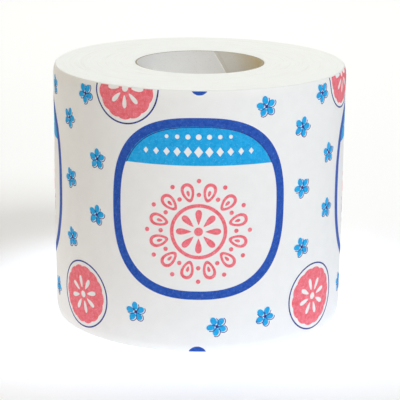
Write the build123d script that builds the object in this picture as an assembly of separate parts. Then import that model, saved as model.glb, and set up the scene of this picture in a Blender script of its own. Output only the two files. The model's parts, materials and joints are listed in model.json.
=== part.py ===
from build123d import *

import os
from math import cos, degrees, radians, sin, tan

# Toilet paper roll in a printed paper wrapper, standing on its end. A paper web is wound on a card
# core, a printed band is glued round the side, and all three are sawn to length together. The roll's
# axis is +Z, and the origin is the centre of the lower end. Lengths are in millimetres.

# Overall sizes
ROLL_HEIGHT = 90.0
ROLL_DIAMETER = 103.0  # over the wrapper, beside its lap

# Card core: a tube wound from two plies of board
CORE_BORE_DIAMETER = 44.5
CORE_PLY = 0.25
CORE_PLIES = 2
CORE_SETBACK = 0.2  # from the end of the tissue to the edge of the card
CORE_CLEARANCE = 0.05  # all round, between the card and the first turn

# Seam of the core's inner ply: one edge stands proud, and the board beside it eases back to the bore
SEAM_WIDTH = 2.0
SEAM_LEAN = 33.0  # degrees from the axis
SEAM_TOP_AZIMUTH = 77.5  # degrees from +X, where the seam reaches the core's upper edge

# Wrapper: a band of paper round the side, glued where it laps
WRAPPER_PAPER = 0.1
WRAPPER_CLEARANCE = 0.05
WRAPPER_SETBACK = 0.3  # from the end of the tissue to the edge of the band
LAP_LENGTH = 12.0
LAP_RISE = 3.0  # the stretch where the paper climbs on to its own start
LAP_AZIMUTH = 128.0  # degrees from +X

# Sawn ends of the wound paper, where the winding shows as tight bands with a loose turn between them
RIM_BEVEL = 0.6  # the outer turns are pressed in and down by the wrapper
BAND_PITCH = 3.8
GROOVE_WIDTH = 0.8
GROOVE_DEPTH = 0.3

# What follows from those sizes
CORE_BORE_RADIUS = CORE_BORE_DIAMETER / 2
CORE_RADIUS = CORE_BORE_RADIUS + CORE_PLIES * CORE_PLY
CORE_LENGTH = ROLL_HEIGHT - 2 * CORE_SETBACK
TISSUE_BORE_RADIUS = CORE_RADIUS + CORE_CLEARANCE
WRAPPER_RADIUS = ROLL_DIAMETER / 2
WRAPPER_BORE_RADIUS = WRAPPER_RADIUS - WRAPPER_PAPER
WRAPPER_HEIGHT = ROLL_HEIGHT - 2 * WRAPPER_SETBACK
TISSUE_RADIUS = WRAPPER_BORE_RADIUS - WRAPPER_CLEARANCE


def polar(radius, azimuth):
    """The point at this radius and azimuth, in radians, seen in plan."""
    return (radius * cos(azimuth), radius * sin(azimuth))


def arc(radius, start, end):
    """An arc about the roll's axis from one azimuth to another."""
    return Edge.make_three_point_arc(polar(radius, start), polar(radius, (start + end) / 2), polar(radius, end))


def tube(outer_radius, inner_radius, height):
    """A plain tube that stands on z = 0."""
    return extrude(Circle(outer_radius) - Circle(inner_radius), height)


def seam_relief():
    """What the seam takes out of the bore: a step of one ply that eases back over SEAM_WIDTH.

    Its section lies across the bore, and climbs it as a helix that runs past both ends of the core.
    """
    overrun = 1.0
    foot_depth = 0.3  # how far the section reaches into the open bore
    length = CORE_LENGTH + 2 * overrun
    turn_per_length = tan(radians(SEAM_LEAN)) / CORE_BORE_RADIUS
    step = radians(SEAM_TOP_AZIMUTH) - (CORE_LENGTH + overrun) * turn_per_length
    eased = step - SEAM_WIDTH / CORE_BORE_RADIUS
    foot = CORE_BORE_RADIUS - foot_depth
    deepest = CORE_BORE_RADIUS + CORE_PLY
    halfway = polar(CORE_BORE_RADIUS + CORE_PLY / 2, (step + eased) / 2)
    outline = Wire(
        [
            Edge.make_line(polar(foot, step), polar(deepest, step)),
            Edge.make_three_point_arc(polar(deepest, step), halfway, polar(CORE_BORE_RADIUS, eased)),
            Edge.make_line(polar(CORE_BORE_RADIUS, eased), polar(foot, eased)),
            arc(foot, eased, step),
        ]
    )
    twist = degrees(length * turn_per_length)
    relief = Solid.extrude_linear_with_rotation(outline, (0, 0, 0), (0, 0, length), twist)
    return Pos(Z=-overrun) * relief


def card_core():
    """The wound card tube, with the seam of its inner ply."""
    plain = tube(CORE_RADIUS, CORE_BORE_RADIUS, CORE_LENGTH)
    return Pos(Z=CORE_SETBACK) * (plain - seam_relief())


def half_groove(radius, centre_x, back):
    """Half a turn of the groove in the upper end: a V section revolved about the line x = centre_x."""
    middle = centre_x + radius
    bottom = (middle, 0, ROLL_HEIGHT - GROOVE_DEPTH)
    inner = (middle - GROOVE_WIDTH, 0, ROLL_HEIGHT + GROOVE_DEPTH)
    outer = (middle + GROOVE_WIDTH, 0, ROLL_HEIGHT + GROOVE_DEPTH)
    section = make_face(Polyline(bottom, inner, outer, close=True))
    axis = Axis((centre_x, 0, 0), (0, 0, 1 if back else -1))
    return revolve(section, axis, 180)


def spiral_groove():
    """The winding as it shows on the upper end: one spiral groove from the core out to the rim.

    Half circles about two centres, half a pitch apart, meet in line at every half turn.
    """
    first = TISSUE_BORE_RADIUS + GROOVE_WIDTH
    last = TISSUE_RADIUS - RIM_BEVEL - GROOVE_WIDTH
    shift = BAND_PITCH / 2
    halves = []
    for half in range(int((last - first) / shift)):
        back = half % 2 == 0
        halves.append(half_groove(first + half * shift, 0 if back else shift, back))
    return halves


def wound_tissue():
    """The wound paper, one solid: eased rims, and the spiral of its winding on both ends."""
    roll = tube(TISSUE_RADIUS, TISSUE_BORE_RADIUS, ROLL_HEIGHT)
    rims = roll.edges().filter_by(GeomType.CIRCLE).group_by(SortBy.RADIUS)[-1]
    roll = chamfer(rims, RIM_BEVEL)
    upper = spiral_groove()
    mid_height = Plane.XY.offset(ROLL_HEIGHT / 2)
    lower = [mirror(half, about=mid_height) for half in upper]
    return roll - upper - lower


def lap():
    """The lap's second thickness of paper, in plan: it lies on the band, with its root in the band's wall."""
    root = (WRAPPER_BORE_RADIUS + WRAPPER_RADIUS) / 2
    top = WRAPPER_RADIUS + WRAPPER_PAPER
    edge = radians(LAP_AZIMUTH)
    glued = edge + LAP_LENGTH / WRAPPER_RADIUS
    foot = glued + LAP_RISE / WRAPPER_RADIUS
    outline = Wire(
        [
            Edge.make_line(polar(root, edge), polar(top, edge)),
            arc(top, edge, glued),
            Edge.make_line(polar(top, glued), polar(WRAPPER_RADIUS, foot)),
            Edge.make_line(polar(WRAPPER_RADIUS, foot), polar(root, foot)),
            arc(root, foot, edge),
        ]
    )
    return extrude(Face(outline), WRAPPER_HEIGHT)


def paper_wrapper():
    """The printed band, with the step of its free edge at the lap."""
    band = tube(WRAPPER_RADIUS, WRAPPER_BORE_RADIUS, WRAPPER_HEIGHT)
    return Pos(Z=WRAPPER_SETBACK) * (band + lap())


os.makedirs("parts", exist_ok=True)
export_step(card_core(), "parts/card_core.step")
export_step(wound_tissue(), "parts/wound_tissue.step")
export_step(paper_wrapper(), "parts/paper_wrapper.step")
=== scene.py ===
# %% [markdown]
# # A toilet paper roll in a printed paper band
#
# The roll stands on its end. A long web of soft tissue is wound on a thin card core, a printed band of
# machine-glazed paper is glued round the side, and the log is sawn to length, band and all. This lesson
# dresses that roll for a picture: first the camera and the light, then the card, the tissue, the band,
# and last the four inks that are printed on the band.

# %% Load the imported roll
import json
from math import atan2, ceil, cos, degrees, hypot, pi, radians, sin, tan

import bmesh
import bpy
from mathutils import Matrix, Vector, noise


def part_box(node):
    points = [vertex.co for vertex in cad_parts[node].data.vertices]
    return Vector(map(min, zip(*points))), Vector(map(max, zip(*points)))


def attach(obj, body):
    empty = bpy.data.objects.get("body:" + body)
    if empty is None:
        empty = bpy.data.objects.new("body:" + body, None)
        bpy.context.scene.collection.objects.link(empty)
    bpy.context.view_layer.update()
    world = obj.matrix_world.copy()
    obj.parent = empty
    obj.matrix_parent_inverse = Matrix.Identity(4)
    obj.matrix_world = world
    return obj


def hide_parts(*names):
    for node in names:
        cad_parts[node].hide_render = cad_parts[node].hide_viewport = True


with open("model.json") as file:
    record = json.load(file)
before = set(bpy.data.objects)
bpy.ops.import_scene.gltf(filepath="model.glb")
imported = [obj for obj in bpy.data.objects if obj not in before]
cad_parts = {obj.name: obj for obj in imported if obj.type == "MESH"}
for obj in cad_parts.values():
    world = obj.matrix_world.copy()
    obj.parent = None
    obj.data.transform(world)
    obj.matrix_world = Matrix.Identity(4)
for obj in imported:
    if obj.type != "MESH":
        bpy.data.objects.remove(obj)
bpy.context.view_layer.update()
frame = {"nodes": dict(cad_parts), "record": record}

MM = 0.001

# %% [markdown]
# The scene works in metres, and the roll's axis is +Z. The sizes that the pieces share come from the
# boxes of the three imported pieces, so the picture follows the model. What a box can't tell, such as the
# place of the band's lap, is named once, where it is first needed.

# %% Sizes that the pieces share
core_low, core_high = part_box("card_core")
roll_low, roll_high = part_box("wound_tissue")
band_low, band_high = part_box("paper_wrapper")
core_bore = next(mount for mount in frame["record"]["mounts"] if mount["name"] == "core_bore")

CORE_BORE_RADIUS = core_bore["dims"]["r_mm"] * MM
CORE_TOP = core_high.z
TISSUE_BORE_RADIUS = core_high.x + 0.05 * MM  # just clear of the card
TISSUE_RADIUS = roll_high.x
ROLL_TOP = roll_high.z
ROLL_HALF = ROLL_TOP / 2
BAND_RADIUS = -band_low.x
BAND_FOOT = band_low.z
BAND_TOP = band_high.z
for name, low, high in (("core", core_low, core_high), ("tissue", roll_low, roll_high)):
    print(name, "from", round(low.z / MM, 2), "to", round(high.z / MM, 2), "mm up")
print("band radius", round(BAND_RADIUS / MM, 2), "mm, roll height", round(ROLL_TOP / MM, 2), "mm")

# %% [markdown]
# Modelling by hand means: select one thing, then change it. These helpers keep that short. `take` selects
# whole objects, `pick` selects vertices or faces in edit mode by a test on their place, `apply_modifier`
# adds a modifier with its settings and applies it at once, and `settle` writes an object's place into its
# mesh. `radii` only measures, to print what was made.

# %% Helpers for modelling
SMOOTH_ANGLE = radians(40)  # edges that turn by more than this stay crisp


def take(*pieces):
    """Selects these pieces alone, and makes the first one active."""
    bpy.ops.object.select_all(action="DESELECT")
    for piece in pieces:
        piece.select_set(True)
    bpy.context.view_layer.objects.active = pieces[0]


def pick(piece, kind, test):
    """In edit mode, selects the piece's verts, edges or faces that pass the test, and nothing else."""
    mesh = bmesh.from_edit_mesh(piece.data)
    bpy.ops.mesh.select_all(action="DESELECT")
    for part in getattr(mesh, kind):
        part.select_set(bool(test(part)))
    mesh.select_flush_mode()
    bmesh.update_edit_mesh(piece.data)


def apply_modifier(piece, kind, **settings):
    """Adds a modifier to the piece, sets it and applies it."""
    take(piece)
    modifier = piece.modifiers.new(kind.lower(), kind)
    for name, value in settings.items():
        setattr(modifier, name, value)
    bpy.ops.object.modifier_apply(modifier=modifier.name)


def settle():
    """Applies the place, turn and size of what is selected, so that each mesh says where it is."""
    bpy.ops.object.transform_apply(location=True, rotation=True, scale=True)


def radii(piece):
    """The piece's least and greatest distance from the roll's axis, in mm, to print."""
    found = [hypot(v.co.x, v.co.y) / MM for v in piece.data.vertices]
    return f"{min(found):.3f} to {max(found):.3f} mm from the axis, {len(piece.data.polygons)} faces"


# %% [markdown]
# Materials are made of nodes, and colours are chosen as sRGB hex codes, as a designer writes them. Blender
# mixes light in linear values, so one function converts them. `add_node` adds a node, and an input that
# is another node's output is linked. A Mix node has inputs for numbers, vectors and colours, all with the
# same names, so its two colours and its mixed colour are called by their numbers.

# %% Helpers for materials
COLOUR_A = 6  # input of a Mix node: its colour where the factor is 0
COLOUR_B = 7  # input of a Mix node: its colour where the factor is 1
MIXED = 2  # output of a Mix node: the mixed colour


def linear(code):
    """The linear RGBA of an sRGB hex code."""
    channels = [int(code[i : i + 2], 16) / 255 for i in (0, 2, 4)]
    return [c / 12.92 if c <= 0.04045 else ((c + 0.055) / 1.055) ** 2.4 for c in channels] + [1.0]


def add_node(tree, kind, inputs=(), **settings):
    """Adds a node with its settings; each input is a value, or an output to link."""
    node = tree.nodes.new("ShaderNode" + kind)
    for name, value in settings.items():
        setattr(node, name, value)
    for name, value in dict(inputs).items():
        if isinstance(value, bpy.types.NodeSocket):
            tree.links.new(value, node.inputs[name])
        else:
            node.inputs[name].default_value = value
    return node


def new_material(name):
    """An empty material with an output node: the material, its tree and the output."""
    material = bpy.data.materials.new(name)
    material.use_nodes = True
    tree = material.node_tree
    tree.nodes.clear()
    return material, tree, add_node(tree, "OutputMaterial")


# %% [markdown]
# ## Camera
#
# The picture was taken with a long lens from a little above the roll. The camera's place and lens were
# fitted to the roll's outline and the mouth of the core: from over half a metre away it looks 16 degrees
# down, and it is turned by half a degree.

# %% Camera
CAMERA_PLACE = (0.0, -0.54161, 0.19009)
CAMERA_DOWN = 15.572  # degrees below level
CAMERA_RIGHT = 0.057  # degrees to the right of straight ahead
CAMERA_TURN = 0.519  # degrees, anticlockwise as the photographer sees it
LENS_LENGTH = 139.73  # millimetres
SENSOR_WIDTH = 36.0  # millimetres

bpy.ops.object.select_all(action="DESELECT")
bpy.ops.object.camera_add(location=CAMERA_PLACE)
camera = bpy.context.object
aim = Matrix.Rotation(radians(-CAMERA_RIGHT), 3, "Z") @ Matrix.Rotation(radians(90 - CAMERA_DOWN), 3, "X")
camera.rotation_euler = (aim @ Matrix.Rotation(radians(CAMERA_TURN), 3, "Z")).to_euler()
camera.data.sensor_width = SENSOR_WIDTH
camera.data.lens = LENS_LENGTH
bpy.context.scene.camera = camera
print("camera", round(Vector(CAMERA_PLACE).length, 3), "m from the roll's foot")

# %% [markdown]
# ## Light and floor
#
# A product photograph on white: a window high on the right, a wide soft light behind and above, and a
# warm room on the left, which tints that side of the band and the right wall of the bore. The roll stands
# on a light table, a sheet of white acrylic that is lit from below, so the background stays white and the
# band grows lighter towards its foot.
#
# The room could be another lamp, but it is all round that side of the roll, so it is the world's own
# background, which fades from left to right.

# %% World
ROOM_GLOW = 0.96
DARK_SIDE = 0.02
ROOM_COLOUR = linear("fff1dc")

world = bpy.data.worlds.new("warm_room_on_the_left")
bpy.context.scene.world = world
world.use_nodes = True
world.node_tree.nodes.clear()
bpy.context.scene.view_settings.view_transform = "Standard"

room = world.node_tree
direction = add_node(room, "TexCoord").outputs["Generated"]
sideways = add_node(room, "SeparateXYZ", {"Vector": direction}).outputs["X"]
fade = {"Value": sideways, "From Min": -1.0, "From Max": 0.0, "To Min": ROOM_GLOW, "To Max": DARK_SIDE}
glow = add_node(room, "MapRange", fade).outputs["Result"]
backdrop = add_node(room, "Background", {"Color": ROOM_COLOUR, "Strength": glow})
add_node(room, "OutputWorld", {"Surface": backdrop.outputs["Background"]})
print("room:", ROOM_GLOW, "on the left,", DARK_SIDE, "on the right")

# %% [markdown]
# The two lamps are large and round, because a large light gives soft shadows. One helper makes both and
# turns each to face the roll.

# %% Lamps
def soft_light(name, place, target, size, power, colour):
    """A round area light that faces its target."""
    bpy.ops.object.light_add(type="AREA", location=place)
    light = bpy.context.object
    light.name = name
    light.rotation_euler = (Vector(target) - Vector(place)).to_track_quat("-Z", "Y").to_euler()
    light.data.shape = "DISK"
    light.data.size = size
    light.data.energy = power
    light.data.color = linear(colour)[:3]
    light.visible_camera = False
    print(name, size, "m across,", power, "W")


ROLL_MIDDLE = (0.0, 0.0, ROLL_HALF)
soft_light("window", place=(0.9, -1.1, 1.15), target=ROLL_MIDDLE, size=0.7, power=19.9, colour="f6faff")
soft_light("light_behind", place=(0.0, 0.9, 1.0), target=ROLL_MIDDLE, size=1.2, power=11.0, colour="fcffff")

# %% [markdown]
# The floor is the acrylic top. No lamp lies under it: its own material glows, painted light from below that
# is strongest under the middle, so the glow falls off a few centimetres out, and it is left out below the
# roll itself, where it would only shine up the bore.

# %% Floor
FLOOR_SIZE = 6.0
GLOW = 0.54
FAR_GLOW = 0.03
GLOW_REACH = 0.12
DARK_RADIUS = 0.047  # no light comes through nearer to the axis than this
OPEN_RADIUS = 0.05  # and all of it from here on
CLOUD_RATE = 3.0  # per metre

bpy.ops.mesh.primitive_plane_add(size=FLOOR_SIZE)
floor = bpy.context.object
floor.name = "floor"

acrylic, tree, output = new_material("white_acrylic_light_table")
spots = add_node(tree, "TexCoord").outputs["Object"]
away = add_node(tree, "VectorMath", {0: spots}, operation="LENGTH").outputs["Value"]
fading = add_node(
    tree,
    "MapRange",
    {"Value": away, "From Min": GLOW_REACH / 2, "From Max": GLOW_REACH, "To Min": GLOW, "To Max": FAR_GLOW},
    interpolation_type="SMOOTHSTEP",
).outputs["Result"]
open_table = add_node(
    tree, "MapRange", {"Value": away, "From Min": DARK_RADIUS, "From Max": OPEN_RADIUS}
).outputs["Result"]
# The floor's emission: painted light from below, standing in for a lamp under the acrylic.
lit = add_node(tree, "Math", {0: fading, 1: open_table}, operation="MULTIPLY").outputs[0]
clouds = add_node(tree, "TexNoise", {"Vector": spots, "Scale": CLOUD_RATE, "Detail": 2.0}).outputs["Fac"]
shade = add_node(
    tree, "Mix", {"Factor": clouds, COLOUR_A: linear("fcfcfb"), COLOUR_B: linear("fefefe")}, data_type="RGBA"
).outputs[MIXED]
surface = add_node(tree, "BsdfPrincipled", {"Base Color": shade, "Roughness": 0.6, "Emission Strength": lit})
surface.inputs["Emission Color"].default_value = linear("deeaff")
tree.links.new(surface.outputs["BSDF"], output.inputs["Surface"])
floor.data.materials.append(acrylic)
print("floor:", FLOOR_SIZE, "m square, lit out to", GLOW_REACH, "m")

# %% [markdown]
# ## Card core
#
# The core is a tube of grey chipboard, wound on the slant from two narrow plies and glued. The packed
# piece already has the bore, the edge and the slanting seam of the inner ply, so it stays and only gets
# its finish.
#
# On the side of the seam where the ply below shows, the board is painted a little darker and browner, as
# painted shade from the seam's step. Further round, a tan patch is painted warm light from the room on the
# left. So the material works out how far round the bore a point lies from the seam, which climbs the bore
# as a helix. A picture wrapped round the bore could do this too, but it would have to be painted, and the
# helix is only a line of arithmetic.

# %% Chipboard: where a point lies
SEAM_TOP = radians(77.5)  # azimuth where the seam meets the upper edge
SEAM_LEAN = radians(33.0)  # from the roll's axis
SEAM_SHADE_REACH = 1.5  # radians from the seam over which the painted shade fades
WARM_PATCH_MIDDLE = 1.3  # radians from the seam to the middle of the painted warm light
WARM_PATCH_CORE = 0.35  # radians from its middle that are fully brown
WARM_PATCH_EDGE = 1.0  # radians from its middle where it ends
WARM_PATCH_STRENGTH = 0.9

chipboard, tree, output = new_material("grey_chipboard_spiral_wound")
place = add_node(tree, "TexCoord").outputs["Object"]
axes = add_node(tree, "SeparateXYZ", {"Vector": place})
azimuth = add_node(tree, "Math", {0: axes.outputs["Y"], 1: axes.outputs["X"]}, operation="ARCTAN2").outputs[0]
below = add_node(tree, "Math", {0: CORE_TOP, 1: axes.outputs["Z"]}, operation="SUBTRACT").outputs[0]
climb = tan(SEAM_LEAN) / CORE_BORE_RADIUS
slant = add_node(tree, "Math", {0: below, 1: climb, 2: azimuth}, operation="MULTIPLY_ADD").outputs[0]
round_seam = add_node(
    tree, "Math", {0: slant, 1: SEAM_TOP, 2: SEAM_TOP - 2 * pi}, operation="WRAP"
).outputs[0]
# How near a point is to the seam on its shaded side, for the painted shade.
behind = add_node(
    tree, "MapRange", {"Value": round_seam, "From Min": SEAM_TOP - SEAM_SHADE_REACH, "From Max": SEAM_TOP}
).outputs["Result"]
# How far a point lies from the middle of the painted warm light.
past_warm_patch = add_node(
    tree, "Math", {0: round_seam, 1: SEAM_TOP - WARM_PATCH_MIDDLE}, operation="SUBTRACT"
).outputs[0]
from_warm_patch = add_node(tree, "Math", {0: past_warm_patch}, operation="ABSOLUTE").outputs[0]
warm_patch_span = {"From Min": WARM_PATCH_CORE, "From Max": WARM_PATCH_EDGE, "To Min": WARM_PATCH_STRENGTH, "To Max": 0.0}
painted_warm_light = add_node(tree, "MapRange", {"Value": from_warm_patch, **warm_patch_span}).outputs["Result"]
print("chipboard: the seam climbs at", round(degrees(SEAM_LEAN)), "degrees from the axis")

# %% [markdown]
# Chipboard is pressed from recycled pulp, which gives it a dull, matt grey with paler and darker patches
# and specks of stray fibre. Where the core was sawn, the bare edge is darker and browner than the smooth
# liner, partly its own raw board and partly painted shadow from the narrow gap between card and tissue. The
# specks are really about 0.1 mm wide, and are drawn wider so that they show.

# %% Chipboard: colour and surface
FIBRE = 0.35 * MM
PULP_PATCH = 6 * MM
SAWN_FROM = CORE_TOP - ROLL_HALF - 0.06 * MM  # distance from the roll's middle where the edge begins
SAWN_FULL = CORE_TOP - ROLL_HALF - 0.02 * MM

patches = add_node(tree, "TexNoise", {"Vector": place, "Scale": 1 / PULP_PATCH, "Detail": 2.0}).outputs["Fac"]
fibres = add_node(tree, "TexNoise", {"Vector": place, "Scale": 1 / FIBRE, "Detail": 2.0}).outputs["Fac"]
pulp = add_node(
    tree, "Mix", {"Factor": patches, COLOUR_A: linear("f2f2f1"), COLOUR_B: linear("fafaf9")}, data_type="RGBA"
).outputs[MIXED]
# Painted shade: darker and browner beside the seam's step.
seam_shaded = add_node(
    tree, "Mix", {"Factor": behind, COLOUR_A: pulp, COLOUR_B: linear("e9e7e0")}, data_type="RGBA"
).outputs[MIXED]
# Painted warm light: a tan patch, light that the room on the left throws on this wall of the bore.
warm_lit = add_node(
    tree, "Mix", {"Factor": painted_warm_light, COLOUR_A: seam_shaded, COLOUR_B: linear("e0cfa4")}, data_type="RGBA"
).outputs[MIXED]
speck = add_node(
    tree, "MapRange", {"Value": fibres, "From Min": 0.62, "From Max": 0.78, "To Max": 0.35}
).outputs["Result"]
speckled = add_node(
    tree, "Mix", {"Factor": speck, COLOUR_A: warm_lit, COLOUR_B: linear("a39c8d")}, data_type="RGBA"
).outputs[MIXED]
off_middle = add_node(tree, "Math", {0: axes.outputs["Z"], 1: ROLL_HALF}, operation="SUBTRACT").outputs[0]
from_middle = add_node(tree, "Math", {0: off_middle}, operation="ABSOLUTE").outputs[0]
# The sawn edge: raw board, browner, with painted shadow from the gap between card and tissue.
sawn_edge_and_gap_shadow = add_node(
    tree, "MapRange", {"Value": from_middle, "From Min": SAWN_FROM, "From Max": SAWN_FULL}
).outputs["Result"]
board = add_node(
    tree, "Mix", {"Factor": sawn_edge_and_gap_shadow, COLOUR_A: speckled, COLOUR_B: linear("a1977f")}, data_type="RGBA"
).outputs[MIXED]
grain = add_node(tree, "Bump", {"Height": fibres, "Strength": 0.4, "Distance": 0.03 * MM}).outputs["Normal"]
surface = add_node(
    tree, "BsdfPrincipled", {"Base Color": board, "Roughness": 0.85, "Normal": grain, "IOR": 1.5}
)
tree.links.new(surface.outputs["BSDF"], output.inputs["Surface"])

core = frame["nodes"]["card_core"]
core.data.materials[0] = chipboard
print("card core:", radii(core))

# %% [markdown]
# ## Wound tissue
#
# Soft tissue gives way where the band is drawn tight, and most at the sawn ends, where nothing backs it.
# So the side draws in a little towards either end, and the band's edge bends in with it. A modifier could
# round each piece by itself, but one helper for both keeps the two together.

# %% The soft shoulder
SHOULDER = 0.4 * MM
SHOULDER_REACH = 3.0 * MM


def shoulder(depth):
    """How far the side has drawn in, at this depth below the band's sawn edge."""
    return SHOULDER * max(0.0, 1 - depth / SHOULDER_REACH) ** 2


# %% [markdown]
# The end of a roll is hundreds of soft edges side by side, cut by a saw. From a step away it is a smooth,
# matt, creamy white; close by, the turns show as a spiral of fine ridges, with a deeper line where the
# winding was looser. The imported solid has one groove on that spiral, and the ridges here run beside it.
#
# No operator winds a spiral into a face, so this piece is written as mesh code: rings of points that
# drift outwards behind the axis, until each one meets the ring that started further out.

# %% Sizes of the winding
POINTS_AROUND = 240
RIDGE_PITCH = 0.95 * MM  # a few turns of tissue together, drawn coarse enough to show
RIDGE_DEPTH = 0.04 * MM
RINGS_PER_RIDGE = 4
GROOVE_PITCH = 3.8 * MM
GROOVE_RADIUS = TISSUE_BORE_RADIUS + 0.8 * MM  # where the groove starts, on +X
GROOVE_DEPTH = 0.11 * MM
GROOVE_REACH = 0.7 * MM
MOUTH_ROUND = 0.35 * MM
RIM_ROUND = 0.4 * MM

RING_STEP = RIDGE_PITCH / RINGS_PER_RIDGE
DRIFT_RINGS = round(GROOVE_PITCH / RING_STEP)  # rings that one turn of the spiral moves out by
END_INNER = TISSUE_BORE_RADIUS + MOUTH_ROUND
END_OUTER = TISSUE_RADIUS - SHOULDER - RIM_ROUND
FIRST_RING = GROOVE_RADIUS - ceil((GROOVE_RADIUS - END_INNER + GROOVE_PITCH) / RING_STEP) * RING_STEP
RING_COUNT = ceil((END_OUTER - FIRST_RING) / RING_STEP) + 1
print("end of the roll:", RING_COUNT, "rings of", POINTS_AROUND, "points")

# %% [markdown]
# The height of each point comes from one function: the groove, the ridges, patches where the winding is
# tighter or looser, and a little fuzz. All of it fades out just before the mouth and the rim, so that
# these stay round. A texture with a Displace modifier would be the other way, but it can't follow the
# drifting rings as exactly.

# %% Relief of the sawn end
PATCH_SIZE = 7 * MM
PATCH_MEAN = 0.75
PATCH_SWING = 0.5
FUZZ_SIZE = 0.9 * MM
FUZZ_DEPTH = 0.012 * MM
FADE_WIDTH = 0.5 * MM


def turn_depth(ring, radius, azimuth):
    """How far a point of the end lies below the plane of the saw cut."""
    past_groove = FIRST_RING + ring * RING_STEP - GROOVE_RADIUS
    from_groove = (past_groove + GROOVE_PITCH / 2) % GROOVE_PITCH - GROOVE_PITCH / 2
    groove = GROOVE_DEPTH * max(0.0, 1 - abs(from_groove) / GROOVE_REACH) ** 1.5
    ridge = RIDGE_DEPTH * abs(cos(pi * ring / RINGS_PER_RIDGE)) ** 2
    spot = Vector((radius * cos(azimuth), radius * sin(azimuth), 0.0))
    uneven = PATCH_MEAN + PATCH_SWING * noise.noise(spot / PATCH_SIZE)
    fuzz = FUZZ_DEPTH * noise.noise(spot / FUZZ_SIZE)
    fade = min(1.0, (radius - END_INNER) / FADE_WIDTH, (END_OUTER - radius) / FADE_WIDTH)
    return max(0.0, fade) * max(0.0, uneven * (groove + ridge) + fuzz)


# %% [markdown]
# The rest of the section is the same all round: up the bore and over its rounded mouth on the inside, and
# over the rounded rim and down the shoulder on the outside. Only the upper half is drawn, and heights are
# measured from the roll's middle, because a Mirror modifier makes the lower half.

# %% Section of the roll's upper half
def quarter(centre_r, centre_z, radius, start, steps):
    """Points of a rounded corner of the section, as (distance from the axis, height)."""
    angles = [radians(start - 90 * i / steps) for i in range(steps + 1)]
    return [(centre_r + radius * cos(a), centre_z + radius * sin(a)) for a in angles]


bore_side = [(TISSUE_BORE_RADIUS, ROLL_HALF * share) for share in (0, 0.5, 0.9)]
bore_side += quarter(END_INNER, ROLL_HALF - MOUTH_ROUND, MOUTH_ROUND, 180, 3)[:-1]
rim_side = quarter(END_OUTER, ROLL_HALF - RIM_ROUND, RIM_ROUND, 90, 4)[1:]
for quarters in (1, 2, 3, 4):
    depth = SHOULDER_REACH * quarters / 4
    rim_side.append((TISSUE_RADIUS - shoulder(depth), BAND_TOP - ROLL_HALF - depth))
rim_side += [(TISSUE_RADIUS, ROLL_HALF * share) for share in (0.9, 0.5, 0)]
print("section:", len(bore_side), "points up the bore,", len(rim_side), "down the side")

# %% [markdown]
# The section is repeated at every step round the axis. Behind the axis the rings drift outwards, by one
# pitch of the groove over the half turn, which is what makes the rings a spiral.

# %% Columns of points
mesh = bmesh.new()
columns = []
for step in range(POINTS_AROUND):
    azimuth = 2 * pi * step / POINTS_AROUND
    drift = 0.0 if azimuth < pi else GROOVE_PITCH / 2 * (1 + cos(azimuth))
    section = list(bore_side)
    for ring in range(RING_COUNT):
        radius = min(max(FIRST_RING + ring * RING_STEP + drift, END_INNER), END_OUTER)
        section.append((radius, ROLL_HALF - turn_depth(ring, radius, azimuth)))
    section += rim_side
    columns.append([mesh.verts.new((r * cos(azimuth), r * sin(azimuth), z)) for r, z in section])
print("points:", len(mesh.verts))

# %% [markdown]
# Each column is joined to the next with faces. The last one meets the first one further out, so there the
# rings are joined to rings that started `DRIFT_RINGS` further on. Points that the mouth or the rim has
# pushed together are merged, and the upper half is mirrored down.

# %% Faces and lower half
SAME_POINT = 0.002 * MM
SAME_PLANE = 0.01 * MM  # points this near to the middle plane are merged with their mirror image

first, last = len(bore_side), len(bore_side) + RING_COUNT - 1
for step, column in enumerate(columns):
    closing = step == POINTS_AROUND - 1
    after = columns[0] if closing else columns[step + 1]
    for row in range(len(column) - 1):
        pair = []
        for at in (row, row + 1):
            inside = first <= at <= last
            pair.append(min(at + DRIFT_RINGS, last) if closing and inside else at)
        corners = [column[row], column[row + 1], after[pair[1]], after[pair[0]]]
        if len(set(corners)) == 4:
            mesh.faces.new(corners)
bmesh.ops.remove_doubles(mesh, verts=mesh.verts, dist=SAME_POINT)
bmesh.ops.recalc_face_normals(mesh, faces=mesh.faces)
tissue_mesh = bpy.data.meshes.new("tissue_roll")
mesh.to_mesh(tissue_mesh)
mesh.free()

tissue_roll = bpy.data.objects.new("tissue_roll", tissue_mesh)
bpy.context.scene.collection.objects.link(tissue_roll)
apply_modifier(tissue_roll, "MIRROR", use_axis=(False, False, True), merge_threshold=SAME_PLANE)
tissue_roll.location.z = ROLL_HALF
take(tissue_roll)
settle()
bpy.ops.object.shade_smooth()
print("tissue roll:", radii(tissue_roll))

# %% [markdown]
# The end is soft tissue cut by a saw, and the cut plies show as fine streaks that run round the roll. They
# are made from a noise whose coordinates are the direction from the axis and, drawn out much finer, the
# distance from it, so it is long along a turn and short across it. A ply is really 0.1 mm thick, and the
# streaks are drawn four times as wide. The nap of loose fibre ends is far finer than half a millimetre
# too, and is drawn that coarse so that it shows.

# %% Tissue: streaks and nap
NAP = 0.5 * MM
PULP_CLOUD = 5 * MM
PLY_STREAK = 0.4 * MM

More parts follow.
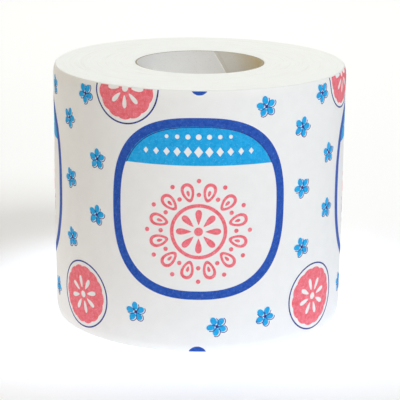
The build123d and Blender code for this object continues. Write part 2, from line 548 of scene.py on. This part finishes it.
tissue_finish, tree, output = new_material("soft_bleached_tissue_sawn")
place = add_node(tree, "TexCoord").outputs["Object"]
level = add_node(tree, "VectorMath", {0: place, 1: (1.0, 1.0, 0.0)}, operation="MULTIPLY").outputs["Vector"]
from_axis = add_node(tree, "VectorMath", {0: level}, operation="LENGTH").outputs["Value"]
heading = add_node(tree, "VectorMath", {0: level}, operation="NORMALIZE").outputs["Vector"]
around = add_node(tree, "SeparateXYZ", {"Vector": heading})
across = add_node(tree, "Math", {0: from_axis, 1: 0.5 / PLY_STREAK}, operation="MULTIPLY").outputs[0]
along = add_node(tree, "CombineXYZ", {"X": around.outputs["X"], "Y": around.outputs["Y"], "Z": across})
plies = add_node(
    tree, "TexNoise", {"Vector": along.outputs["Vector"], "Scale": 2.0, "Detail": 1.0}
).outputs["Fac"]
clouds = add_node(tree, "TexNoise", {"Vector": place, "Scale": 1 / PULP_CLOUD, "Detail": 2.0}).outputs["Fac"]
nap = add_node(tree, "TexNoise", {"Vector": place, "Scale": 1 / NAP, "Detail": 2.0}).outputs["Fac"]
print("tissue:", len(tree.nodes), "nodes for the streaks and the nap")

# %% [markdown]
# Bleached fibre is white with a trace of cream, and a little duller in the nap. The grooves between the
# plies are painted darker, as painted shade. It has no gloss at all, but its loose ends catch the light at
# a low angle, which is what sheen is for.

# %% Tissue: colour and surface
cream = add_node(
    tree, "Mix", {"Factor": clouds, COLOUR_A: linear("f5f7f3"), COLOUR_B: linear("f9fbf8")}, data_type="RGBA"
).outputs[MIXED]
# Painted shade: darker in the grooves between the plies.
between = add_node(
    tree, "MapRange", {"Value": plies, "From Min": 0.55, "From Max": 0.75, "To Max": 0.3}
).outputs["Result"]
plies_with_painted_shade = add_node(
    tree, "Mix", {"Factor": between, COLOUR_A: cream, COLOUR_B: linear("dddbd0")}, data_type="RGBA"
).outputs[MIXED]
dusty = add_node(
    tree, "MapRange", {"Value": nap, "From Min": 0.55, "From Max": 0.8, "To Max": 0.3}
).outputs["Result"]
fibre = add_node(
    tree, "Mix", {"Factor": dusty, COLOUR_A: plies_with_painted_shade, COLOUR_B: linear("e6e5dc")}, data_type="RGBA"
).outputs[MIXED]
grooved = add_node(tree, "Bump", {"Height": plies, "Strength": 0.35, "Distance": 0.1 * MM}, invert=True)
lofty = {"Height": nap, "Strength": 0.35, "Distance": 0.05 * MM, "Normal": grooved.outputs["Normal"]}
loft = add_node(tree, "Bump", lofty).outputs["Normal"]
surface = add_node(
    tree, "BsdfPrincipled", {"Base Color": fibre, "Roughness": 0.95, "IOR": 1.45, "Normal": loft}
)
surface.inputs["Sheen Weight"].default_value = 0.15
surface.inputs["Sheen Roughness"].default_value = 0.6
tree.links.new(surface.outputs["BSDF"], output.inputs["Surface"])

tissue_roll.data.materials.append(tissue_finish)
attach(tissue_roll, "root")
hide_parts("wound_tissue")
print("tissue finish:", len(tree.nodes), "nodes")

# %% [markdown]
# ## The band, laid flat
#
# A real band is printed flat, cut from the web, drawn round the roll and glued where it laps. It is made
# here in the same order. X runs along the paper with 0 at the front of the roll, Y is the height on the
# roll, and +Z is the printed side. The far left end will lie on top of the far right end.
#
# The paper is a grid of small cells. The print repeats along it, and a repeat is a whole number of cells,
# so that later each ink can be cut along the same lines and lie flat on every cell.

# %% Sizes of the paper
PAPER = 0.1 * MM
GLUE_LINE = 0.02 * MM  # glue, and the paper not lying quite flat
LAP_LENGTH = 12.0 * MM
LAP_RISE = 3.0 * MM
LAP_AZIMUTH = 128.0  # degrees from +X, where the free edge lies
REPEAT = 90.0 * MM  # from one printed frame to the next
CELLS_ALONG = 60  # in a repeat
CELLS_UP = 60  # from the foot to the top of the band
CELL_LENGTH = REPEAT / CELLS_ALONG
CELL_HEIGHT = (BAND_TOP - BAND_FOOT) / CELLS_UP

FREE_EDGE = radians(LAP_AZIMUTH + 90 - 360) * BAND_RADIUS  # the end that shows
SEEN_END = FREE_EDGE + 2 * pi * BAND_RADIUS  # where the other end slips under it
HIDDEN_END = SEEN_END + LAP_LENGTH
MIDDLE = (BAND_FOOT + BAND_TOP) / 2
print("sheet", round((HIDDEN_END - FREE_EDGE) / MM, 1), "by", round((BAND_TOP - BAND_FOOT) / MM, 1), "mm")

# %% [markdown]
# Paper and print are both trimmed to a straight line, as with a guillotine. Bisect does that in edit mode
# for the whole width at once, and cleanly, where a Boolean would need a second object and might fail on a
# sheet with no thickness.

# %% Helper that trims flat work
NEAR_CUT = 0.005 * MM  # a point this near to a cut counts as lying on it


def cut(piece, place, direction, keep=False):
    """Cuts a flat piece across X or Y at this place, and drops what lies beyond it unless keep is set."""
    take(piece)
    bpy.ops.object.mode_set(mode="EDIT")
    bpy.ops.mesh.select_all(action="SELECT")
    point = tuple(place * abs(way) for way in direction)
    bpy.ops.mesh.bisect(
        plane_co=(*point, 0.0), plane_no=(*direction, 0.0), clear_outer=not keep, threshold=NEAR_CUT
    )
    bpy.ops.object.mode_set(mode="OBJECT")


# %% [markdown]
# The free end is raised by one thickness over the length of the lap, in a short ramp, and the outer rows
# of both long edges are pressed back, because they follow the soft shoulders of the tissue.

# %% Cut the sheet
RAMP_STEPS = 3
PRESSED_ROWS = 2

left_cells = ceil(-FREE_EDGE / CELL_LENGTH)
right_cells = ceil(HIDDEN_END / CELL_LENGTH)
bpy.ops.object.select_all(action="DESELECT")
bpy.ops.mesh.primitive_grid_add(x_subdivisions=left_cells + right_cells, y_subdivisions=CELLS_UP, size=1.0)
band = bpy.context.object
band.name = "printed_band"
band.scale = ((left_cells + right_cells) * CELL_LENGTH, BAND_TOP - BAND_FOOT, 1.0)
band.location = ((right_cells - left_cells) / 2 * CELL_LENGTH, MIDDLE, 0.0)
settle()
cut(band, FREE_EDGE, (-1.0, 0.0))
cut(band, HIDDEN_END, (1.0, 0.0))

bpy.ops.object.mode_set(mode="EDIT")
for step in range(RAMP_STEPS):
    reach = FREE_EDGE + LAP_LENGTH + LAP_RISE * (RAMP_STEPS - step - 0.5) / RAMP_STEPS
    pick(band, "verts", lambda v: v.co.x < reach)
    bpy.ops.transform.translate(value=(0, 0, (PAPER + GLUE_LINE) / RAMP_STEPS))
for row in range(PRESSED_ROWS):
    line = (CELLS_UP / 2 - row) * CELL_HEIGHT
    pick(band, "verts", lambda v: abs(abs(v.co.y - MIDDLE) - line) < CELL_HEIGHT / 10)
    bpy.ops.transform.translate(value=(0, 0, -shoulder(row * CELL_HEIGHT)))
bpy.ops.object.mode_set(mode="OBJECT")
print("flat sheet:", len(band.data.polygons), "faces")

# %% [markdown]
# Rolling up is one helper, because the inks take the same way as the paper: the flat work is stood up,
# a Bend modifier curls it to the roll's radius, and it is moved so that the roll's axis is the Z axis.

# %% Roll it up
def roll_up(piece):
    """Stands a flat piece up and bends it round the roll, with its +Z side outwards."""
    take(piece)
    piece.rotation_euler = (radians(90), 0, 0)
    settle()
    across = [v.co.x for v in piece.data.vertices]
    turn = (max(across) - min(across)) / BAND_RADIUS
    apply_modifier(piece, "SIMPLE_DEFORM", deform_method="BEND", deform_axis="Z", angle=turn)
    piece.location.y = -BAND_RADIUS
    settle()
    return turn


turn = roll_up(band)
print("band bent by", round(degrees(turn), 1), "degrees,", radii(band))

# %% [markdown]
# Paper drawn round soft tissue is never a perfect cylinder: it lies in long, very shallow swells. A
# Displace modifier with a cloud texture lifts the sheet outwards by up to a quarter of a millimetre, but
# not at its long edges, which a vertex group holds down on the tissue. Solidify then gives the sheet the
# thickness of the paper, inwards, so that the print lies on the outer side.

# %% Swells and thickness
SWELL_HEIGHT = 0.25 * MM
SWELL_SIZE = 16 * MM

swells = bpy.data.textures.new("paper_swells", "CLOUDS")
swells.noise_scale = SWELL_SIZE
swells.noise_depth = 1
free = band.vertex_groups.new(name="free")
for vertex in band.data.vertices:
    rows_in = CELLS_UP / 2 - abs(vertex.co.z - MIDDLE) / CELL_HEIGHT
    free.add([vertex.index], min(max(rows_in / PRESSED_ROWS, 0.0), 1.0), "REPLACE")
lift = {"texture": swells, "texture_coords": "LOCAL", "strength": SWELL_HEIGHT, "mid_level": 0.0}
apply_modifier(band, "DISPLACE", vertex_group="free", **lift)
band.vertex_groups.clear()
bpy.data.textures.remove(swells)
print("with swells:", radii(band))

apply_modifier(band, "SOLIDIFY", thickness=PAPER, offset=-1.0)
take(band)
bpy.ops.object.shade_smooth_by_angle(angle=SMOOTH_ANGLE)
print("printed band:", radii(band))

# %% [markdown]
# The paper is machine-glazed: one side is dried against a polished cylinder, which makes it smooth enough
# to print on, with a soft gloss, while the fibres still gather in faint clouds. The sheet is full of open
# pores, which reflect far less than solid cellulose would. Its real grain is about 0.1 mm and is drawn at
# 0.4 mm. The inks lie on this same grain, so it is one helper, which they use again later.

# %% Texture of the paper
PAPER_GRAIN = 0.4 * MM
PAPER_CLOUD = 4 * MM


def paper_texture(tree):
    """The sheet's clouds and grain, and a bump of the grain: the inks take them from the paper."""
    place = add_node(tree, "TexCoord").outputs["Object"]
    cloudy = {"Vector": place, "Scale": 1 / PAPER_CLOUD, "Detail": 3.0}
    clouds = add_node(tree, "TexNoise", cloudy).outputs["Fac"]
    grainy = {"Vector": place, "Scale": 1 / PAPER_GRAIN, "Detail": 2.0}
    grain = add_node(tree, "TexNoise", grainy).outputs["Fac"]
    rough = {"Height": grain, "Strength": 0.25, "Distance": 0.02 * MM}
    tooth = add_node(tree, "Bump", rough).outputs["Normal"]
    return place, clouds, grain, tooth


# %% [markdown]
# Light that sinks into the sawn ends of the tissue comes out again through the thin paper beside them, so
# the sheet is palest along both edges. A paper that really lets light through would cost far more time
# than it shows, so the colour is mixed by the distance from the sheet's middle line.

# %% Paper
LIT_EDGE = 3.0 * MM
LIT_STRENGTH = 0.5
OPEN_PORES = 0.2  # of the reflection that the IOR gives, where 0.5 is all of it
BAND_HALF = (BAND_TOP - BAND_FOOT) / 2

glazed, tree, output = new_material("machine_glazed_paper")
place, clouds, grain, tooth = paper_texture(tree)
white = add_node(
    tree, "Mix", {"Factor": clouds, COLOUR_A: linear("efefee"), COLOUR_B: linear("f6f6f5")}, data_type="RGBA"
).outputs[MIXED]
height = add_node(tree, "SeparateXYZ", {"Vector": place}).outputs["Z"]
off_middle = add_node(tree, "Math", {0: height, 1: MIDDLE}, operation="SUBTRACT").outputs[0]
from_middle = add_node(tree, "Math", {0: off_middle}, operation="ABSOLUTE").outputs[0]
edge_span = {"From Min": BAND_HALF - LIT_EDGE, "From Max": BAND_HALF, "To Max": LIT_STRENGTH}
lit = add_node(tree, "MapRange", {"Value": from_middle, **edge_span}).outputs["Result"]
sheet = add_node(
    tree, "Mix", {"Factor": lit, COLOUR_A: white, COLOUR_B: linear("fffffb")}, data_type="RGBA"
).outputs[MIXED]
gloss = add_node(tree, "MapRange", {"Value": clouds, "To Min": 0.62, "To Max": 0.74}).outputs["Result"]
surface = add_node(
    tree, "BsdfPrincipled", {"Base Color": sheet, "Roughness": gloss, "IOR": 1.5, "Normal": tooth}
)
surface.inputs["Specular IOR Level"].default_value = OPEN_PORES
tree.links.new(surface.outputs["BSDF"], output.inputs["Surface"])

band.data.materials.append(glazed)
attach(band, "root")
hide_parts("paper_wrapper")
print("paper:", len(tree.nodes), "nodes")

# %% [markdown]
# ## The print, laid flat
#
# The band is printed with four inks, one plate for each: royal blue, sky blue, coral and a navy for fine
# lines. An ink is a flat film with crisp edges, so every shape starts as an outline on the same flat
# sheet as the paper. Outlines that lie one inside the other are filled together, which leaves the
# inner ones open, and paper shows through there, just as an ornament is left unprinted on a plate.
#
# A picture or a pattern of pixels would do it too, but it would blur up close. Shapes stay crisp.

# %% Helpers for flat shapes, with sizes in mm
def outline(radius, place=(0.0, 0.0), points=32, stretch=(1.0, 1.0)):
    """A closed line: a circle, or an oval where it is stretched along X and Y."""
    bpy.ops.object.select_all(action="DESELECT")
    bpy.ops.mesh.primitive_circle_add(vertices=points, radius=radius * MM)
    shape = bpy.context.object
    shape.scale = (*stretch, 1.0)
    shape.location = (place[0] * MM, place[1] * MM, 0.0)
    settle()
    return shape


def join(shapes, name):
    """Makes one piece of several."""
    take(*shapes)
    if len(shapes) > 1:
        bpy.ops.object.join()
    shapes[0].name = name
    return shapes[0]


def fill(*lines):
    """Fills the space between these outlines, facing up."""
    shape = join(lines, "flat_shape")
    bpy.ops.object.mode_set(mode="EDIT")
    bpy.ops.mesh.select_all(action="SELECT")
    bpy.ops.mesh.fill(use_beauty=True)
    bpy.ops.mesh.select_all(action="SELECT")
    bpy.ops.mesh.normals_make_consistent(inside=False)
    bpy.ops.object.mode_set(mode="OBJECT")
    if sum(face.normal.z for face in shape.data.polygons) < 0:
        bpy.ops.object.mode_set(mode="EDIT")
        bpy.ops.mesh.flip_normals()
        bpy.ops.object.mode_set(mode="OBJECT")
    return shape


# %% [markdown]
# What repeats is drawn once and copied, and each copy gets its own mesh, so that it can be joined and cut
# like any other shape.

# %% Helpers that repeat a shape
def copies(motif, places):
    """Copies of a motif, each with its own mesh, at these places: x, y, and a turn in degrees."""
    made = []
    for x, y, turn in places:
        copy = motif.copy()
        copy.data = motif.data.copy()
        bpy.context.scene.collection.objects.link(copy)
        copy.rotation_euler.z = radians(turn)
        copy.location = (x * MM, y * MM, 0.0)
        made.append(copy)
    bpy.data.objects.remove(motif)
    take(*made)
    settle()
    return made


def wreath(shape, count, start=0.0):
    """Copies of a shape, evenly round the origin."""
    return copies(shape, [(0.0, 0.0, start + 360 * number / count) for number in range(count)])


# %% [markdown]
# Each repeat has a cushion-shaped frame with a rosette under a coloured field, two scalloped medallions,
# a dot that the saw has cut at either end, and a scatter of small five-petalled blossoms. One repeat is
# laid out here, with its frame at 0, and is copied along the paper later.

# %% Places in one repeat, in mm
FRAME_MIDDLE = 50.0
FIELD_FOOT = 65.0
ROSETTE_MIDDLE = 42.8
MEDALLIONS = [(-25.5, 89.5, 0.0), (45.0, 14.5, 15.0)]
CUT_DOTS = [(0.0, -0.9), (0.0, 91.6)]
BLOSSOMS = [
    (22.5, 84.0, 10.0),
    (37.5, 75.5, -20.0),
    (47.5, 85.5, 35.0),
    (53.0, 64.0, 0.0),
    (38.0, 54.5, 25.0),
    (52.5, 44.5, -10.0),
    (38.5, 33.5, 15.0),
    (23.5, 11.5, -25.0),
    (6.5, 9.5, 30.0),
    (68.5, 13.0, 5.0),
]
print("a repeat has", len(MEDALLIONS), "medallions and", len(BLOSSOMS), "blossoms")

# %% [markdown]
# The frame is a line of even width between an oval with squared-off corners and the same oval drawn in.
# A circle with many points is moved onto that curve, because a rounded rectangle from a bevel would have
# straight sides.

# %% Frame and cut dots
FRAME_HALF = (30.0, 31.0)
FRAME_STROKE = 2.9
FRAME_POWER = 2.6  # 2 is an oval, and more is squarer
CUT_DOT_RADIUS = 3.2


def cushion(inset):
    """The frame's outline, drawn in by some millimetres: an oval with squarer corners."""
    line = outline(1.0, points=120)
    for vertex in line.data.vertices:
        angle = atan2(vertex.co.y, vertex.co.x)
        for axis, share in enumerate((cos(angle), sin(angle))):
            half = (FRAME_HALF[axis] - inset) * MM
            vertex.co[axis] = half * abs(share) ** (2 / FRAME_POWER) * (1 if share > 0 else -1)
        vertex.co.y += FRAME_MIDDLE * MM
    return line


royal_flat = [fill(cushion(0.0), cushion(FRAME_STROKE))]
royal_flat += [fill(outline(CUT_DOT_RADIUS, place, points=40)) for place in CUT_DOTS]
print("royal blue:", sum(len(shape.data.polygons) for shape in royal_flat), "faces in a repeat")

# %% [markdown]
# The coloured field fills the head of the frame. It is the frame's inner outline, filled and cut level;
# then its faces are dissolved into one and deleted, which leaves the new outline alone. Two rows of marks
# are set inside it, and the whole is filled once more with the marks left open.

# %% Coloured field
MARK_STEP = 3.5
DIAMOND_ROW = 69.6
DOT_ROW = 74.6

field = fill(cushion(FRAME_STROKE))
cut(field, FIELD_FOOT * MM, (0.0, -1.0))
bpy.ops.object.mode_set(mode="EDIT")
bpy.ops.mesh.select_all(action="SELECT")
bpy.ops.mesh.dissolve_faces()
bpy.ops.mesh.select_all(action="SELECT")
bpy.ops.mesh.delete(type="ONLY_FACE")
bpy.ops.object.mode_set(mode="OBJECT")
marks = []
for number in range(-5, 6):
    size = 1.9 - 0.16 * abs(number)
    marks.append(outline(size, (number * MARK_STEP, DIAMOND_ROW), points=4, stretch=(0.78, 1.0)))
for number in range(-3, 4):
    size = 0.95 - 0.1 * abs(number)
    marks.append(outline(size, (number * MARK_STEP, DOT_ROW), points=20))
sky_flat = [fill(field, *marks)]
print("coloured field:", len(sky_flat[0].data.polygons), "faces")

# %% [markdown]
# The rosette is a flower in a ring, with a lace border of drops and dots. One drop and one dot of each
# kind are drawn above the middle, and each is then repeated as a wreath.

# %% Rosette
DROPS = 12
HALF_STEP = 15.0  # degrees, which sets the drops halfway between the dots
DOT_DISTANCES = (12.6, 17.3)


def drop(length, width, middle, tip):
    """The outline of a petal on +Y, whose foot is narrower than its head by the share tip."""
    line = outline(1.0, points=32)
    for vertex in line.data.vertices:
        along = vertex.co.y / MM
        vertex.co.x *= width / 2 * (1 - tip * (1 - along) / 2)
        vertex.co.y = (middle + length / 2 * along) * MM
    return line


lace = wreath(fill(drop(length=5.2, width=3.1, middle=4.9, tip=0.8)), 8)
lace += [fill(outline(1.45)), fill(outline(9.5, points=72), outline(8.3, points=72))]
outer_drop = drop(length=6.6, width=5.4, middle=13.7, tip=0.45)
inner_drop = drop(length=4.4, width=3.1, middle=13.7, tip=0.45)
lace += wreath(fill(outer_drop, inner_drop), DROPS, HALF_STEP)
lace += wreath(fill(drop(length=2.0, width=1.3, middle=13.4, tip=0.45)), DROPS, HALF_STEP)
for distance in DOT_DISTANCES:
    lace += wreath(fill(outline(0.75, (0.0, distance), points=20)), DROPS)
rosette = join(lace, "rosette")
coral_flat = copies(rosette, [(0.0, ROSETTE_MIDDLE, 0.0)])
print("rosette:", len(coral_flat[0].data.polygons), "faces")

# %% [markdown]
# A medallion is a coral disc with a scalloped edge and a daisy left open in it, inside a fine navy ring.
# The scallops are a circle whose points are drawn in and out by a sine, which is quicker than joining
# small arcs and leaves no kinks to clean up.

# %% Medallions
SCALLOPS = 14
SCALLOP_LOW = 0.955  # share of the radius that is left between two scallops
SCALLOP_RISE = 0.045
DAISY_PETALS = 8

scalloped = outline(10.4, points=SCALLOPS * 10)
for vertex in scalloped.data.vertices:
    angle = atan2(vertex.co.y, vertex.co.x)
    vertex.co *= SCALLOP_LOW + SCALLOP_RISE * abs(sin(SCALLOPS / 2 * angle)) ** 0.8
daisy = wreath(drop(length=4.4, width=2.1, middle=4.5, tip=0.55), DAISY_PETALS)
coral_flat += copies(fill(scalloped, outline(1.2, points=24), *daisy), MEDALLIONS)
navy_flat = copies(fill(outline(12.0, points=96), outline(11.5, points=96)), MEDALLIONS)
print("medallion:", len(coral_flat[-1].data.polygons), "faces")

# %% [markdown]
# A blossom is five sky-blue petals. The navy plate adds a fine shaded edge on the lower right of each
# petal and a dot in the middle, and because no press lays two plates exactly, navy falls a little aside.

# %% Blossoms
PETALS = 5
PETAL_MIDDLE = 2.05
PETAL_HALF = (1.08, 1.42)
SHADE_OUTER = 0.32  # how far the shaded edge reaches beyond the petal
SHADE_INNER = 0.06  # how far from the petal it starts
LIT_WAY = (-0.5, 0.87, 0.0)  # the edge is left out on this side of a petal


def petal(grow=0.0):
    """The outline of the uppermost petal, grown by some millimetres."""
    stretch = (PETAL_HALF[0] + grow, PETAL_HALF[1] + grow)
    return outline(1.0, (0.0, PETAL_MIDDLE), points=24, stretch=stretch)


blossom = join(wreath(fill(petal()), PETALS), "blossom")
sky_flat += copies(blossom, BLOSSOMS)

edges = wreath(fill(petal(SHADE_OUTER), petal(SHADE_INNER)), PETALS)
for edge in edges:
    middle = sum((v.co for v in edge.data.vertices), Vector()) / len(edge.data.vertices)
    take(edge)
    bpy.ops.object.mode_set(mode="EDIT")
    bpy.ops.mesh.select_all(action="SELECT")
    bpy.ops.mesh.bisect(plane_co=middle, plane_no=LIT_WAY, clear_outer=True, threshold=NEAR_CUT)
    bpy.ops.object.mode_set(mode="OBJECT")
shading = join(edges + [fill(outline(0.55, points=12))], "blossom_shading")
navy_flat += copies(shading, BLOSSOMS)
print("sky blue:", sum(len(shape.data.polygons) for shape in sky_flat), "faces in a repeat")

# %% [markdown]
# Two inks that meet are printed a little over each other, so that no paper shows between them, and the
# overlap comes out darker. Round the head of the field it is a thin line, drawn with the navy plate.

# %% Overlap of two inks
OVERLAP = (0.05, 0.25)  # how far the line reaches outwards and inwards from the frame's inner edge

overlap = fill(cushion(FRAME_STROKE - OVERLAP[0]), cushion(FRAME_STROKE + OVERLAP[1]))
cut(overlap, FIELD_FOOT * MM, (0.0, -1.0))
navy_flat.append(overlap)
print("navy:", sum(len(shape.data.polygons) for shape in navy_flat), "faces in a repeat")

# %% [markdown]
# ## Onto the paper
#
# The shapes of a plate are joined and cut along the lines of the paper's own cells, so that no face
# bridges two cells that lean differently. The repeat is copied along the sheet and trimmed where the saw
# and the lap end it, just inside the paper's own edges. Cuts that nearly meet a corner leave slivers, so
# edges that are too short to show are closed up at the end.

# %% Helper that lays one plate out along the sheet
TRIM = 0.04 * MM
SLIVER = 0.015 * MM
REPEATS = (-1, 0, 1, 2)  # places of the repeat along the sheet, with 0 at the front of the roll


def lay_out(shapes, name, aside):
    """One ink, flat on the whole sheet, with its plate aside by (x, y) mm."""
    plate = join(shapes, "plate")
    plate.location = (aside[0] * MM, aside[1] * MM, 0.0)
    settle()
    across = [v.co.x / CELL_LENGTH for v in plate.data.vertices]
    for column in range(ceil(min(across)), ceil(max(across))):
        cut(plate, column * CELL_LENGTH, (1.0, 0.0), keep=True)
    for row in range(1, CELLS_UP):
        cut(plate, BAND_FOOT + row * CELL_HEIGHT, (0.0, 1.0), keep=True)
    ink = join(copies(plate, [(REPEAT / MM * number, 0.0, 0.0) for number in REPEATS]), name)
    cut(ink, SEEN_END, (1.0, 0.0))
    cut(ink, FREE_EDGE, (-1.0, 0.0))
    cut(ink, BAND_TOP - TRIM, (0.0, 1.0))
    cut(ink, BAND_FOOT + TRIM, (0.0, -1.0))
    bpy.ops.object.mode_set(mode="EDIT")
    bpy.ops.mesh.select_all(action="SELECT")
    bpy.ops.mesh.dissolve_degenerate(threshold=SLIVER)
    bpy.ops.object.mode_set(mode="OBJECT")
    return ink


# %% [markdown]
# The flat ink is rolled up like the paper, a millimetre outside it. Shrinkwrap then projects it straight
# back onto the band, on every swell and on the lap. Its other way, to the nearest point, would squeeze
# faces together beside the lap's step. Solidify gives the film a body whose inner side lies just inside
# the paper, so no light gets between the two.

# %% Helper that presses an ink on the band
INK_FILM = 0.05 * MM
APART = 1.0 * MM


def press(ink, proud, material):
    """Lays the flat ink on the band, its outer side this much proud of the paper, and finishes it."""
    ink.location.z = APART
    settle()
    roll_up(ink)
    wrap = {"wrap_method": "PROJECT", "use_negative_direction": True, "wrap_mode": "ABOVE_SURFACE"}
    apply_modifier(ink, "SHRINKWRAP", target=band, offset=proud, **wrap)
    apply_modifier(ink, "SOLIDIFY", thickness=INK_FILM, offset=-1.0)
    bpy.ops.object.shade_smooth_by_angle(angle=SMOOTH_ANGLE)
    ink.data.materials.append(material)
    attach(ink, "root")
    print(ink.name, "laid", radii(ink))


# %% [markdown]
# The inks are thin water-based ones, pressed on by a raised rubber plate. The film is a little uneven,
# darker where the plate squeezed it out, and speckled with pinholes where a fibre took no ink. It is as
# smooth as the paper below, which it sinks into, and takes its tooth. The pinholes are really about
# 0.1 mm, and are drawn at four times that.

# %% Helper for the inks' finish
MOTTLE = 1.2 * MM


def flexo_ink(name, deep, thin, pinhole):
    """Ink between a deep and a thinner shade, with pinholes of this strength."""
    material, tree, output = new_material(name)
    place, clouds, grain, tooth = paper_texture(tree)
    squeeze = add_node(tree, "TexNoise", {"Vector": place, "Scale": 1 / MOTTLE, "Detail": 2.0}).outputs["Fac"]
    even = add_node(tree, "MapRange", {"Value": squeeze, "From Min": 0.3, "From Max": 0.7}).outputs["Result"]
    film = add_node(
        tree, "Mix", {"Factor": even, COLOUR_A: linear(deep), COLOUR_B: linear(thin)}, data_type="RGBA"
    ).outputs[MIXED]
    hole = add_node(
        tree, "MapRange", {"Value": grain, "From Min": 0.6, "From Max": 0.78, "To Max": pinhole}
    ).outputs["Result"]
    shade = add_node(
        tree, "Mix", {"Factor": hole, COLOUR_A: film, COLOUR_B: linear("f2f2f1")}, data_type="RGBA"
    ).outputs[MIXED]
    surface = add_node(
        tree, "BsdfPrincipled", {"Base Color": shade, "Roughness": 0.6, "IOR": 1.5, "Normal": tooth}
    )
    surface.inputs["Specular IOR Level"].default_value = OPEN_PORES
    tree.links.new(surface.outputs["BSDF"], output.inputs["Surface"])
    return material


# %% [markdown]
# The plates are printed one after the other. Each is a tenth of a millimetre or so out of place, in its
# own direction, which is common on a fast press. Navy lies over the others, so it stands a little prouder.

# %% Print the four plates
ON_PAPER = 0.03 * MM
ON_INK = 0.045 * MM

royal_blue = flexo_ink("flexo_ink_royal_blue", "1a4bac", "2c5cba", 0.12)
press(lay_out(royal_flat, "print_royal_blue", (0.0, 0.0)), ON_PAPER, royal_blue)
sky_blue = flexo_ink("flexo_ink_sky_blue", "08a0e4", "26b2ef", 0.2)
press(lay_out(sky_flat, "print_sky_blue", (-0.1, 0.05)), ON_PAPER, sky_blue)
coral = flexo_ink("flexo_ink_coral", "ee6670", "f88492", 0.4)
press(lay_out(coral_flat, "print_coral", (0.1, -0.15)), ON_PAPER, coral)
navy = flexo_ink("flexo_ink_navy", "2a347f", "374493", 0.1)
press(lay_out(navy_flat, "print_navy", (0.15, -0.1)), ON_INK, navy)
